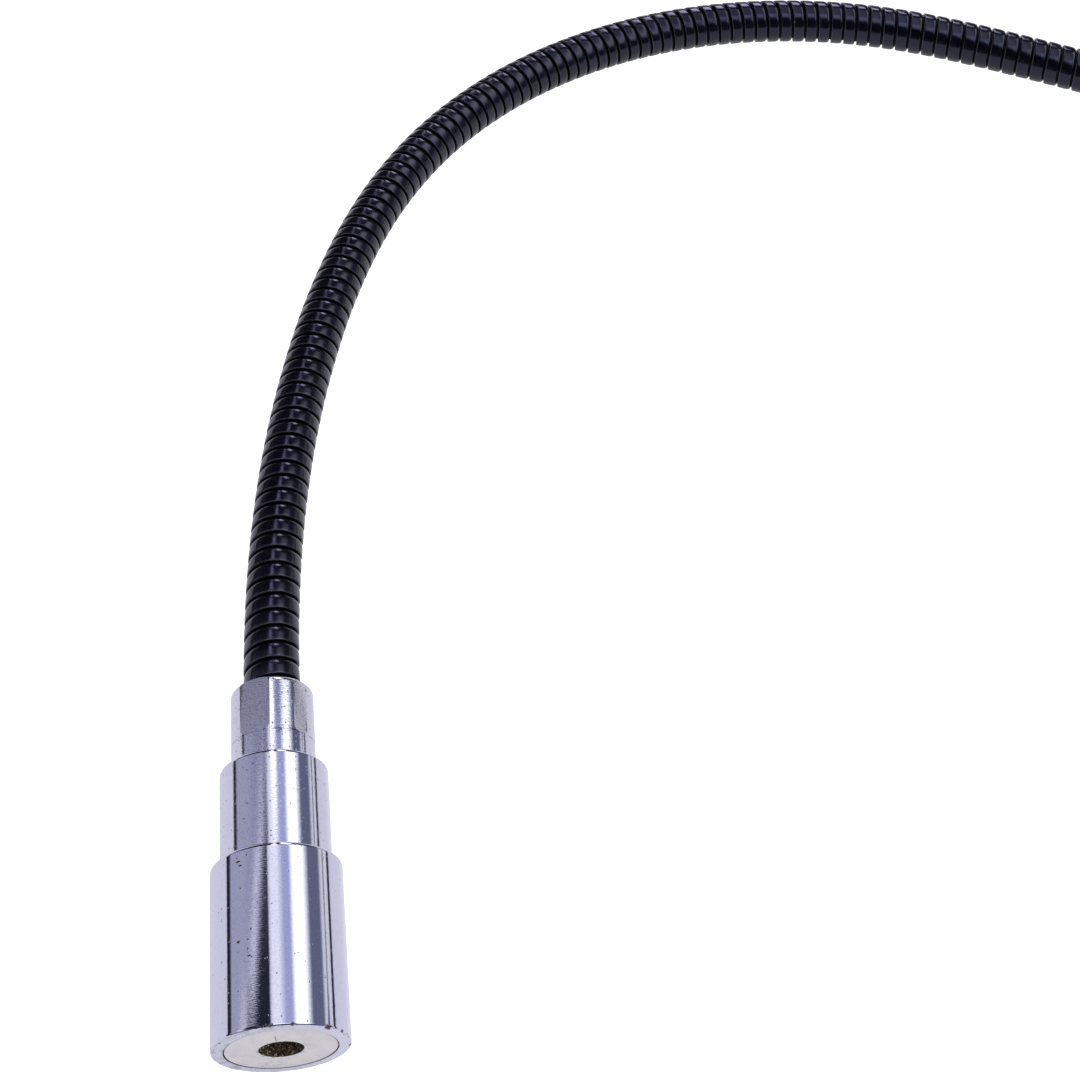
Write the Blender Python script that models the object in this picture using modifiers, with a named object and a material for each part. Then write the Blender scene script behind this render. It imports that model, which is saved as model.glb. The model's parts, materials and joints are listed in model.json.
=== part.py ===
"""Flexible magnetic pick-up tool, lying on a table.

Metres, +Z up. A stepped steel head with a ring magnet in its end sits on a bendable
wound neck, and a plain grip closes the far end of the neck. The neck lies in an even
curve, so the head points to -Y and the grip to +X. The origin is on the table, under
the middle of the whole tool.

The wound neck is cut into short rigid links. Each link turns on the one before it,
in turn sideways about an upright axis and up and down about a level one.
"""

import math

import bmesh
import bpy
from mathutils import Matrix, Vector

MM = 0.001

# Where the tool lies: the middle of the magnet's face, and the way the head points.
FACE_X = -209.347 * MM
FACE_Y = -106.076 * MM
HEAD_HEADING = math.radians(-6.9)

# Head: three steps, measured along the axis from the magnet's face.
CUP_RADIUS = 8.7 * MM
CUP_END = 24.0 * MM
SLEEVE_RADIUS = 7.4 * MM
SLEEVE_END = 38.2 * MM
FERRULE_RADIUS = 5.8 * MM
FERRULE_LENGTH = 12.55 * MM
HEAD_LENGTH = SLEEVE_END + FERRULE_LENGTH
EDGE = 0.5 * MM
GAP = 0.3 * MM

# Magnet and what holds it.
MAGNET_RADIUS = 6.95 * MM
MAGNET_HOLE = 2.8 * MM
MAGNET_DEPTH = 6.0 * MM
MAGNET_SET_BACK = 0.1 * MM
POLE_DEPTH = 1.5 * MM
POLE_HOLE = 1.5 * MM

# Tenons that join the steps, and the bore that takes the neck.
SLEEVE_TENON_RADIUS = 6.4 * MM
FERRULE_TENON_RADIUS = 4.8 * MM
TENON_LENGTH = 4.0 * MM
NECK_BORE = 4.3 * MM
NECK_BORE_DEPTH = 9.0 * MM
NECK_INSERT = 7.5 * MM

# Ferrule: its round mouth, and its flats, which start there: how many degrees round
# from the top each one is, and how deep.
MOUTH_ROUND = 0.8 * MM
FLATS = ((-22, 0.45 * MM), (47, 0.12 * MM), (158, 0.45 * MM), (227, 0.12 * MM))
FLAT_LENGTH = 8.6 * MM
FLAT_CORNER = 1.2 * MM
FLAT_CORNER_SHARE = 0.8

# Neck.
NECK_RADIUS = 4.0 * MM
NECK_WALL = 1.5 * MM
COIL_RADIUS = 2.2 * MM
NECK_LENGTH = 430.0 * MM
JOINTS = 14
WRAP_SET_BACK = 1.3 * MM
COIL_SET_BACK = 0.85 * MM
WRAP_BEVEL = 6
COIL_BEVEL = 2
LINK_STEPS = 3

# How sharply the neck bends to the right: millimetres along it from the ferrule's
# mouth, and degrees of turn in each millimetre there.
BENDS = ((0, 0.2), (60, 0.25), (130, 0.65), (220, 0.65), (265, 0.0), (330, -0.2), (430, 0.0))
TRACE_STEP = 0.5 * MM

# The neck climbs from the head's axis to the grip's over its last stretch.
CLIMB_START = 230.0 * MM

# Grip.
COLLAR_RADIUS = 7.4 * MM
COLLAR_LENGTH = 8.0 * MM
GRIP_RADIUS = 11.0 * MM
GRIP_LENGTH = 92.0 * MM
GRIP_END_ROUND = 2.5 * MM
GROOVES = 7
GROOVE_PITCH = 8.0 * MM
GROOVE_WIDTH = 2.2 * MM
GROOVE_DEPTH = 0.8 * MM
SHAFT_RADIUS = 5.0 * MM
WASHER_RADIUS = 9.6 * MM
WASHER_DEPTH = 1.6 * MM
CAP_RADIUS = 9.0 * MM
CAP_LENGTH = 17.0 * MM
TANG_THICKNESS = 7.0 * MM
HANG_HOLE = 3.25 * MM
HANG_HOLE_FROM_END = 6.0 * MM

# How deep the shaft goes into the end cap, and where the cap's flats begin.
CAP_INSERT = 6.0 * MM
CAP_SOCKET = 6.5 * MM
TANG_START = 8.0 * MM

# How finely round shapes are stepped.
ROUND_STEPS = 4
DOME_STEPS = 8
CORNER_STEPS = 3
CUP_SEGMENTS = 40
HEAD_SEGMENTS = 36
ROUND_SEGMENTS = 32
GRIP_SEGMENTS = 28
FINE_SEGMENTS = 24

# How far the cutters reach past what they cut.
FLAT_REACH = 4.0 * MM
FLAT_MARGIN = 0.1 * MM
TANG_REACH = 8.0 * MM

# Points closer than this are one point: in a turned piece, and at a curve's caps.
TURNED_MERGE = 0.01 * MM
CAP_MERGE = 0.001 * MM


def clear_scene():
    for item in list(bpy.data.objects):
        bpy.data.objects.remove(item, do_unlink=True)


def new_collection(name):
    collection = bpy.data.collections.new(name)
    bpy.context.scene.collection.children.link(collection)
    return collection


def material(name, colour, roughness, metallic=0.0):
    made = bpy.data.materials.new(name)
    made.use_nodes = True
    shader = made.node_tree.nodes["Principled BSDF"]
    shader.inputs["Base Color"].default_value = (*colour, 1)
    shader.inputs["Roughness"].default_value = roughness
    shader.inputs["Metallic"].default_value = metallic
    return made


# ---------------------------------------------------------------- the neck's line

def bend_at(distance):
    """Degrees of turn in each millimetre, eased between the places in BENDS."""
    along = distance / MM
    for (start, low), (end, high) in zip(BENDS, BENDS[1:]):
        if along <= end:
            share = max(0.0, (along - start) / (end - start))
            eased = (1 - math.cos(math.pi * share)) / 2
            return low + (high - low) * eased
    return BENDS[-1][1]


def axis_height(distance):
    share = (distance - CLIMB_START) / (NECK_LENGTH - CLIMB_START)
    share = min(1.0, max(0.0, share))
    eased = share * share * (3 - 2 * share)
    return CUP_RADIUS + (GRIP_RADIUS - CUP_RADIUS) * eased


def heading_direction(heading):
    """Headings are measured clockwise from +Y, seen from above."""
    return Vector((math.sin(heading), math.cos(heading), 0))


def trace_neck():
    """Walk the neck from the head ferrule's mouth in short even steps."""
    count = round(NECK_LENGTH / TRACE_STEP)
    heading = HEAD_HEADING
    start = Vector((FACE_X, FACE_Y, 0))
    place = start + HEAD_LENGTH * heading_direction(heading)
    line = []
    for number in range(count + 1):
        distance = number * TRACE_STEP
        line.append((Vector((place.x, place.y, axis_height(distance))), heading))
        turn = math.radians(bend_at(distance + TRACE_STEP / 2)) * TRACE_STEP / MM
        place = place + TRACE_STEP * heading_direction(heading + turn / 2)
        heading += turn
    return line


def neck_at(line, distance):
    """Point and heading on the neck; straight on past either end of it."""
    if distance <= 0:
        point, heading = line[0]
        return point + distance * heading_direction(heading), heading
    if distance >= NECK_LENGTH:
        point, heading = line[-1]
        return point + (distance - NECK_LENGTH) * heading_direction(heading), heading
    place = distance / NECK_LENGTH * (len(line) - 1)
    number = min(int(place), len(line) - 2)
    share = place - number
    point = line[number][0].lerp(line[number + 1][0], share)
    heading = line[number][1] * (1 - share) + line[number + 1][1] * share
    return point, heading


# ---------------------------------------------------------------- making shapes

def arc(across, along, radius, start, end, steps=ROUND_STEPS):
    """Points (distance from the axis, distance along it) on an arc, degrees."""
    points = []
    for number in range(steps + 1):
        angle = math.radians(start + (end - start) * number / steps)
        points.append((across + radius * math.cos(angle), along + radius * math.sin(angle)))
    return points


def add_object(name, data, collection, surface):
    made = bpy.data.objects.new(name, data)
    collection.objects.link(made)
    if surface is not None:
        data.materials.append(surface)
    return made


def turned(name, outline, segments, collection, surface, closed=True):
    """Spin an outline about local Z. It runs down the outside and up the inside."""
    mesh = bpy.data.meshes.new(name)
    verts = [(across, 0, along) for across, along in outline]
    edges = [(number, number + 1) for number in range(len(verts) - 1)]
    if closed:
        edges.append((len(verts) - 1, 0))
    mesh.from_pydata(verts, edges, [])
    made = add_object(name, mesh, collection, surface)
    screw = made.modifiers.new("Turn", "SCREW")
    screw.angle = math.radians(360)
    screw.steps = segments
    screw.render_steps = segments
    screw.use_merge_vertices = True
    screw.merge_threshold = TURNED_MERGE
    screw.use_smooth_shade = True
    return made


def stand(made, point, heading):
    """Lay local Z along the tool's heading; local -Y then points up."""
    made.location = point
    made.rotation_euler = (math.radians(-90), 0, -heading)


def along_head(distance):
    """A point on the head's axis, from the magnet's face towards the neck."""
    start = Vector((FACE_X, FACE_Y, CUP_RADIUS))
    return start + distance * heading_direction(HEAD_HEADING)


def cut(target, cutter):
    """Cut with a live modifier, so that the cutter can be moved later."""
    boolean = target.modifiers.new("Cut " + cutter.name, "BOOLEAN")
    boolean.operation = "DIFFERENCE"
    boolean.solver = "EXACT"
    boolean.object = cutter


def box_cutter(name, size, cutters, corner=0.0):
    """A box whose edges along local Y are rounded to the corner radius."""
    mesh = bpy.data.meshes.new(name)
    shape = bmesh.new()
    bmesh.ops.create_cube(shape, size=1)
    bmesh.ops.scale(shape, vec=size, verts=shape.verts)
    if corner > 0:
        upright = [edge for edge in shape.edges
                   if abs((edge.verts[0].co - edge.verts[1].co).y) > size[1] / 2]
        bmesh.ops.bevel(shape, geom=upright, offset=corner, segments=CORNER_STEPS,
                        profile=0.5, affect="EDGES")
    shape.to_mesh(mesh)
    shape.free()
    made = add_object(name, mesh, cutters, None)
    made.display_type = "WIRE"
    made.hide_render = True
    return made


def round_cutter(name, radius, depth, cutters):
    mesh = bpy.data.meshes.new(name)
    shape = bmesh.new()
    bmesh.ops.create_cone(shape, cap_ends=True, segments=FINE_SEGMENTS, radius1=radius,
                          radius2=radius, depth=depth)
    shape.to_mesh(mesh)
    shape.free()
    made = add_object(name, mesh, cutters, None)
    made.display_type = "WIRE"
    made.hide_render = True
    return made


# ---------------------------------------------------------------- the head

def ring(outer, inner, top, bottom):
    """Outline of a plain ring, square at its edges."""
    return [(outer, top), (outer, bottom), (inner, bottom), (inner, top)]


def magnet_cup(parts, chrome):
    pocket = MAGNET_RADIUS + GAP
    pocket_depth = MAGNET_SET_BACK + MAGNET_DEPTH + POLE_DEPTH + 2 * GAP
    socket = SLEEVE_TENON_RADIUS + GAP
    socket_start = CUP_END - TENON_LENGTH - GAP
    outline = [(socket, CUP_END)]
    outline += arc(CUP_RADIUS - EDGE, CUP_END - EDGE, EDGE, 90, 0)
    outline += arc(CUP_RADIUS - EDGE, EDGE, EDGE, 0, -90)
    outline += [(pocket, 0), (pocket, pocket_depth), (0, pocket_depth)]
    outline += [(0, socket_start), (socket, socket_start)]
    made = turned("magnet_cup", outline, CUP_SEGMENTS, parts, chrome)
    stand(made, along_head(0), HEAD_HEADING)


def ring_magnet(parts, surface):
    top = MAGNET_SET_BACK + MAGNET_DEPTH
    outline = ring(MAGNET_RADIUS, MAGNET_HOLE, top, MAGNET_SET_BACK)
    made = turned("ring_magnet", outline, HEAD_SEGMENTS, parts, surface)
    stand(made, along_head(0), HEAD_HEADING)


def pole_disc(parts, surface):
    bottom = MAGNET_SET_BACK + MAGNET_DEPTH + GAP
    outline = ring(MAGNET_RADIUS, POLE_HOLE, bottom + POLE_DEPTH, bottom)
    made = turned("pole_disc", outline, ROUND_SEGMENTS, parts, surface)
    stand(made, along_head(0), HEAD_HEADING)


def head_sleeve(parts, chrome):
    start = CUP_END + GAP
    socket = FERRULE_TENON_RADIUS + GAP
    socket_start = SLEEVE_END - TENON_LENGTH - GAP
    outline = [(socket, SLEEVE_END)]
    outline += arc(SLEEVE_RADIUS - EDGE, SLEEVE_END - EDGE, EDGE, 90, 0)
    outline += [(SLEEVE_RADIUS, start), (SLEEVE_TENON_RADIUS, start),
                (SLEEVE_TENON_RADIUS, CUP_END - TENON_LENGTH),
                (0, CUP_END - TENON_LENGTH), (0, socket_start), (socket, socket_start)]
    made = turned("head_sleeve", outline, HEAD_SEGMENTS, parts, chrome)
    stand(made, along_head(0), HEAD_HEADING)


def ferrule(name, point, heading, parts, cutters, chrome):
    """A turned ferrule with its mouth at local z 0 and its tenon far below."""
    foot = -FERRULE_LENGTH + GAP
    tenon_foot = -FERRULE_LENGTH - TENON_LENGTH
    outline = [(NECK_BORE, 0)]
    outline += arc(FERRULE_RADIUS - MOUTH_ROUND, -MOUTH_ROUND, MOUTH_ROUND, 90, 0)
    outline += [(FERRULE_RADIUS, foot), (FERRULE_TENON_RADIUS, foot),
                (FERRULE_TENON_RADIUS, tenon_foot), (0, tenon_foot),
                (0, -NECK_BORE_DEPTH), (NECK_BORE, -NECK_BORE_DEPTH)]
    made = turned(name, outline, ROUND_SEGMENTS, parts, chrome)
    stand(made, point, heading)
    for number, (degrees, depth) in enumerate(FLATS):
        cutter_name = "%s_flat_%d" % (name, number)
        cutter = flat_cutter(cutter_name, math.radians(degrees), depth, made, cutters)
        cut(made, cutter)
    return made


def flat_cutter(name, angle, depth, owner, cutters):
    """One box that shaves a flat at an angle round from the top."""
    surface = FERRULE_RADIUS - depth
    half_width = math.sqrt(FERRULE_RADIUS ** 2 - surface ** 2) + FLAT_MARGIN
    size = Vector((2 * half_width, FLAT_REACH, 2 * FLAT_LENGTH))
    corner = min(FLAT_CORNER, half_width * FLAT_CORNER_SHARE)
    cutter = box_cutter(name, size, cutters, corner)
    out = Vector((math.sin(angle), -math.cos(angle), 0))
    cutter.parent = owner
    cutter.location = out * (surface + FLAT_REACH / 2)
    cutter.rotation_euler = (0, 0, angle)
    return cutter


# ---------------------------------------------------------------- the neck's links

def link_curve(name, line, start, end, radius, bevel, collection, surface, capped):
    """A tube along the neck's line from one distance to another."""
    curve = bpy.data.curves.new(name, "CURVE")
    curve.dimensions = "3D"
    curve.bevel_depth = radius
    curve.bevel_resolution = bevel
    curve.use_fill_caps = capped
    spline = curve.splines.new("POLY")
    spline.points.add(LINK_STEPS)
    for number in range(LINK_STEPS + 1):
        distance = start + (end - start) * number / LINK_STEPS
        spline.points[number].co = (*neck_at(line, distance)[0], 1)
    return add_object(name, curve, collection, surface)


def as_mesh(item):
    """The same object as a mesh, with a curve's loose caps joined on."""
    graph = bpy.context.evaluated_depsgraph_get()
    mesh = bpy.data.meshes.new_from_object(item.evaluated_get(graph))
    shape = bmesh.new()
    shape.from_mesh(mesh)
    bmesh.ops.remove_doubles(shape, verts=shape.verts, dist=CAP_MERGE)
    shape.to_mesh(mesh)
    shape.free()
    name = item.name
    collection = item.users_collection[0]
    bpy.data.objects.remove(item, do_unlink=True)
    made = bpy.data.objects.new(name, mesh)
    collection.objects.link(made)
    mesh.name = name
    return made


def set_origin(made, point):
    """Move the object's origin without moving its shape."""
    made.data.transform(Matrix.Translation(-point))
    made.location = point


def neck_links(line, parts, wrap_surface, coil_surface):
    pitch = NECK_LENGTH / JOINTS
    joints = [(number + 0.5) * pitch for number in range(JOINTS)]
    starts = [-NECK_INSERT] + joints
    ends = joints + [NECK_LENGTH + NECK_INSERT]
    for number, (start, end) in enumerate(zip(starts, ends)):
        first = number == 0
        last = number == JOINTS
        pivot = neck_at(line, end if not last else start)[0]
        for kind, radius, set_back, bevel, surface in (
                ("wrap", NECK_RADIUS, WRAP_SET_BACK, WRAP_BEVEL, wrap_surface),
                ("coil", COIL_RADIUS, COIL_SET_BACK, COIL_BEVEL, coil_surface)):
            low = start if first else start + set_back
            high = end if last else end - set_back
            name = "neck_%s_%02d" % (kind, number)
            made = as_mesh(link_curve(name, line, low, high, radius, bevel, parts,
                                      surface, kind == "coil"))
            if kind == "wrap":
                wall = made.modifiers.new("Wall", "SOLIDIFY")
                wall.thickness = NECK_WALL
                wall.offset = -1
                wall.use_even_offset = True
            set_origin(made, pivot)
            made.data.shade_smooth()


# ---------------------------------------------------------------- the grip

def grip_collar(point, heading, parts, chrome):
    """Starts where the ferrule ends; local z runs from the neck to the far end."""
    start = FERRULE_LENGTH
    socket = FERRULE_TENON_RADIUS + GAP
    outline = [(socket, start + COLLAR_LENGTH)]
    outline += [(COLLAR_RADIUS, start + COLLAR_LENGTH)]
    outline += arc(COLLAR_RADIUS - EDGE, start + EDGE, EDGE, 0, -90)
    outline += [(socket, start)]
    made = turned("grip_collar", outline, HEAD_SEGMENTS, parts, chrome)
    stand(made, point, heading)


def grip_shaft(point, heading, parts, steel):
    """The rod inside the grip; its far end sits in the end cap."""
    start = FERRULE_LENGTH + COLLAR_LENGTH + GAP
    end = start + GRIP_LENGTH + WASHER_DEPTH + CAP_INSERT
    outline = [(0, end), (SHAFT_RADIUS, end), (SHAFT_RADIUS, start), (0, start)]
    made = turned("grip_shaft", outline, FINE_SEGMENTS, parts, steel, closed=False)
    stand(made, point, heading)


def grip_outline(start, end):
    """Down the outside from the far end: a round, the grooves, a round."""
    bore = SHAFT_RADIUS + GAP
    points = [(bore, end)]
    points += arc(GRIP_RADIUS - GRIP_END_ROUND, end - GRIP_END_ROUND, GRIP_END_ROUND, 90, 0)
    middle = (start + end) / 2
    for number in range(GROOVES):
        centre = middle + (GROOVES - 1 - 2 * number) / 2 * GROOVE_PITCH
        half = GROOVE_WIDTH / 2
        points += [(GRIP_RADIUS, centre + half), (GRIP_RADIUS - GROOVE_DEPTH, centre + half / 2),
                   (GRIP_RADIUS - GROOVE_DEPTH, centre - half / 2), (GRIP_RADIUS, centre - half)]
    points += arc(GRIP_RADIUS - GRIP_END_ROUND, start + GRIP_END_ROUND, GRIP_END_ROUND, 0, -90)
    points += [(bore, start)]
    return points


def grip_sleeve(point, heading, parts, rubber):
    start = FERRULE_LENGTH + COLLAR_LENGTH + GAP
    outline = grip_outline(start, start + GRIP_LENGTH)
    made = turned("grip_sleeve", outline, GRIP_SEGMENTS, parts, rubber)
    stand(made, point, heading)


def grip_washer(point, heading, parts, chrome):
    start = FERRULE_LENGTH + COLLAR_LENGTH + GRIP_LENGTH + 2 * GAP
    outline = ring(WASHER_RADIUS, SHAFT_RADIUS + GAP, start + WASHER_DEPTH, start)
    made = turned("grip_washer", outline, ROUND_SEGMENTS, parts, chrome)
    stand(made, point, heading)


def end_cap(point, heading, parts, cutters, surface):
    """A domed cap, flattened to a tang with a hanging hole through it."""
    start = FERRULE_LENGTH + COLLAR_LENGTH + GRIP_LENGTH + WASHER_DEPTH + 3 * GAP
    end = start + CAP_LENGTH
    socket = SHAFT_RADIUS + GAP
    socket_end = start + CAP_SOCKET
    outline = arc(0, end - CAP_RADIUS, CAP_RADIUS, 90, 0, DOME_STEPS)
    outline += [(CAP_RADIUS, start), (socket, start), (socket, socket_end), (0, socket_end)]
    made = turned("end_cap", outline, ROUND_SEGMENTS, parts, surface, closed=False)
    stand(made, point, heading)
    for side in (-1, 1):
        size = Vector((4 * CAP_RADIUS, TANG_REACH, 2 * CAP_LENGTH))
        shave = box_cutter("end_cap_side_%d" % (side + 1), size, cutters)
        shave.parent = made
        shave.location = (0, side * (TANG_THICKNESS + TANG_REACH) / 2,
                          start + TANG_START + CAP_LENGTH)
        cut(made, shave)
    hole = round_cutter("end_cap_hole", HANG_HOLE, 4 * CAP_RADIUS, cutters)
    hole.parent = made
    hole.location = (0, 0, end - HANG_HOLE_FROM_END)
    hole.rotation_euler = (math.radians(90), 0, 0)
    cut(made, hole)


def main():
    clear_scene()
    parts = new_collection("magnetic_pick_up_tool")
    cutters = new_collection("cutters")
    chrome = material("chrome", (0.62, 0.62, 0.70), 0.12, 1.0)
    nickel = material("nickel", (0.66, 0.64, 0.63), 0.35, 1.0)
    steel = material("steel", (0.32, 0.30, 0.29), 0.5, 1.0)
    black_wrap = material("black_wrap", (0.02, 0.018, 0.028), 0.35)
    spring_steel = material("spring_steel", (0.12, 0.12, 0.14), 0.4, 1.0)
    rubber = material("black_rubber", (0.02, 0.02, 0.022), 0.6)

    magnet_cup(parts, chrome)
    ring_magnet(parts, nickel)
    pole_disc(parts, steel)
    head_sleeve(parts, chrome)
    ferrule("head_ferrule", along_head(HEAD_LENGTH), HEAD_HEADING, parts, cutters, chrome)

    line = trace_neck()
    neck_links(line, parts, black_wrap, spring_steel)

    point, heading = neck_at(line, NECK_LENGTH)
    ferrule("grip_ferrule", point, heading + math.pi, parts, cutters, chrome)
    grip_collar(point, heading, parts, chrome)
    grip_shaft(point, heading, parts, steel)
    grip_sleeve(point, heading, parts, rubber)
    grip_washer(point, heading, parts, chrome)
    end_cap(point, heading, parts, cutters, rubber)


main()
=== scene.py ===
"""Flexible magnetic pick-up tool: finished pieces, materials, light and camera.

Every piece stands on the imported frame. The head and the grip are turned again with
fine curves, and the neck gets its wound band, one stretch for each joint.
Lengths are in metres. Headings are clockwise from +Y, seen from above.
"""

import json
import math

import bmesh
import bpy
import numpy as np
from mathutils import Matrix, Vector


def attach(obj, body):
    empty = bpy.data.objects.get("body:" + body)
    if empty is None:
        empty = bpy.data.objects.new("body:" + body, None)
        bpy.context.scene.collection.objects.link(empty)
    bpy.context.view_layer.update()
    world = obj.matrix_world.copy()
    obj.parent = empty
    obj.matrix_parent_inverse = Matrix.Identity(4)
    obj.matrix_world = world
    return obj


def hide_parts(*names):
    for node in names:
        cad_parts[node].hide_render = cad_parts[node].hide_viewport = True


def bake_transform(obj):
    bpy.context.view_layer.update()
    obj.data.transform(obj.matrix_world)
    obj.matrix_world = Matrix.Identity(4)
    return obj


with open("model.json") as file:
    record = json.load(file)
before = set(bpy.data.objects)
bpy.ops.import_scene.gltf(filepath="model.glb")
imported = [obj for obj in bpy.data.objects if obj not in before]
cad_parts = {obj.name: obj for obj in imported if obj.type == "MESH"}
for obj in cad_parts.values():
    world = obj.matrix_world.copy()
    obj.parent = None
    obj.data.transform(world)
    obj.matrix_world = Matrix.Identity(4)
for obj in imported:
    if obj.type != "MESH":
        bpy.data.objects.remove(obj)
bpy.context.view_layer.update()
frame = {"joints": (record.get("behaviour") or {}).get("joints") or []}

MM = 0.001

# The tool's line, as the frame has it.
HEAD_HEADING = math.radians(-6.9)
HEAD_LENGTH = 50.75 * MM
NECK_LENGTH = 430.0 * MM
BENDS = ((0, 0.2), (60, 0.25), (130, 0.65), (220, 0.65), (265, 0.0), (330, -0.2), (430, 0.0))
CLIMB_START = 230.0 * MM
HEAD_HEIGHT = 8.7 * MM
GRIP_HEIGHT = 11.0 * MM

# Head.
CUP_RADIUS = 8.7 * MM
CUP_END = 24.0 * MM
SLEEVE_RADIUS = 7.4 * MM
SLEEVE_END = 38.2 * MM
FERRULE_RADIUS = 5.8 * MM
FERRULE_LENGTH = 12.55 * MM
SHOULDER = 0.5 * MM
MOUTH_ROUND = 0.8 * MM
MAGNET_RADIUS = 7.0 * MM
MAGNET_HOLE = 2.8 * MM
MAGNET_DEPTH = 6.0 * MM
POCKET_RADIUS = 7.14 * MM
POCKET_DEPTH = 8.0 * MM
NECK_BORE = 4.25 * MM
NECK_BORE_DEPTH = 9.0 * MM
BORE_EDGE = 0.15 * MM

# The ferrule's flats: how many degrees round from the top each one is, and how deep.
FLATS = ((-22, 0.45 * MM), (47, 0.12 * MM), (158, 0.45 * MM), (227, 0.12 * MM))
FLAT_LENGTH = 8.6 * MM
FLAT_CORNER = 1.2 * MM
FLAT_CORNER_SHARE = 0.8
FLAT_MARGIN = 0.05 * MM
FLAT_REACH = 4.0 * MM

# Neck winding. Its pitch, by distance along the neck, both in millimetres.
NECK_RADIUS = 4.0 * MM
PITCHES = ((0, 2.8), (100, 2.6), (150, 2.4), (250, 2.8), (430, 2.8))
FIRST_GROOVE = 9.5 * MM
GROOVE_TURN = 0.02
GROOVE = 0.33 * MM
CROWN = 0.10 * MM
FAR_ROUND = 0.42 * MM
BAND_THICKNESS = 0.9 * MM
BAND_HALF = 1.2 * MM
CORE_RADIUS = 3.3 * MM
STEPS_PER_TURN = 48

# Grip.
COLLAR_RADIUS = 7.4 * MM
COLLAR_LENGTH = 8.0 * MM
GRIP_RADIUS = 11.0 * MM
GRIP_LENGTH = 92.0 * MM
GRIP_ROUND = 2.5 * MM
GROOVES = 7
GROOVE_PITCH = 8.0 * MM
GROOVE_WIDTH = 2.6 * MM
GROOVE_DEPTH = 0.8 * MM
SHAFT_RADIUS = 5.0 * MM
WASHER_RADIUS = 9.6 * MM
WASHER_DEPTH = 1.6 * MM
CAP_RADIUS = 9.0 * MM
CAP_LENGTH = 17.0 * MM
CAP_INSERT = 6.0 * MM
CAP_SOCKET = 6.5 * MM
TANG_THICKNESS = 7.0 * MM
TANG_START = 8.0 * MM
HANG_HOLE = 3.25 * MM
HOLE_FROM_END = 6.0 * MM
GAP = 0.3 * MM

# Floor: how strongly it glows into the chrome, and to the camera, where it is white.
FLOOR_GLOW = 0.50
FLOOR_SEEN = 1.0
FLOOR_REACH = 6.0
FLOOR_DROP = 0.2 * MM

# The dark strip beside the head: its size, and how far ahead, right and up it stands.
STRIP_SIZE = Vector((1.2, 150.0, 4.8)) * MM
STRIP_AHEAD = 50.0 * MM
STRIP_RIGHT = 52.0 * MM
STRIP_HEIGHT = 3.6 * MM

# Camera, by how far from the middle of the magnet's face it stands and looks.
EYE_FROM_FACE = Vector((25.4, -63.6, 197.0)) * MM
AIM_FROM_FACE = Vector((32.0, 78.5, 0.0)) * MM
ROLL = math.radians(3.28)
FOCAL_LENGTH = 52.88

joints = {joint["name"]: joint for joint in frame["joints"]}
JOINTS = len(joints)


# ---------------------------------------------------------------- the tool's line

def heading_direction(heading):
    return Vector((math.sin(heading), math.cos(heading), 0))


def bend_at(distance):
    along = distance / MM
    for (start, low), (end, high) in zip(BENDS, BENDS[1:]):
        if along <= end:
            share = max(0.0, (along - start) / (end - start))
            eased = (1 - math.cos(math.pi * share)) / 2
            return low + (high - low) * eased
    return BENDS[-1][1]


def pitch_at(distance):
    places, pitches = zip(*PITCHES)
    return float(np.interp(distance / MM, places, pitches)) * MM


def axis_height(distance):
    share = (distance - CLIMB_START) / (NECK_LENGTH - CLIMB_START)
    share = min(1.0, max(0.0, share))
    return HEAD_HEIGHT + (GRIP_HEIGHT - HEAD_HEIGHT) * share * share * (3 - 2 * share)


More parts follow.
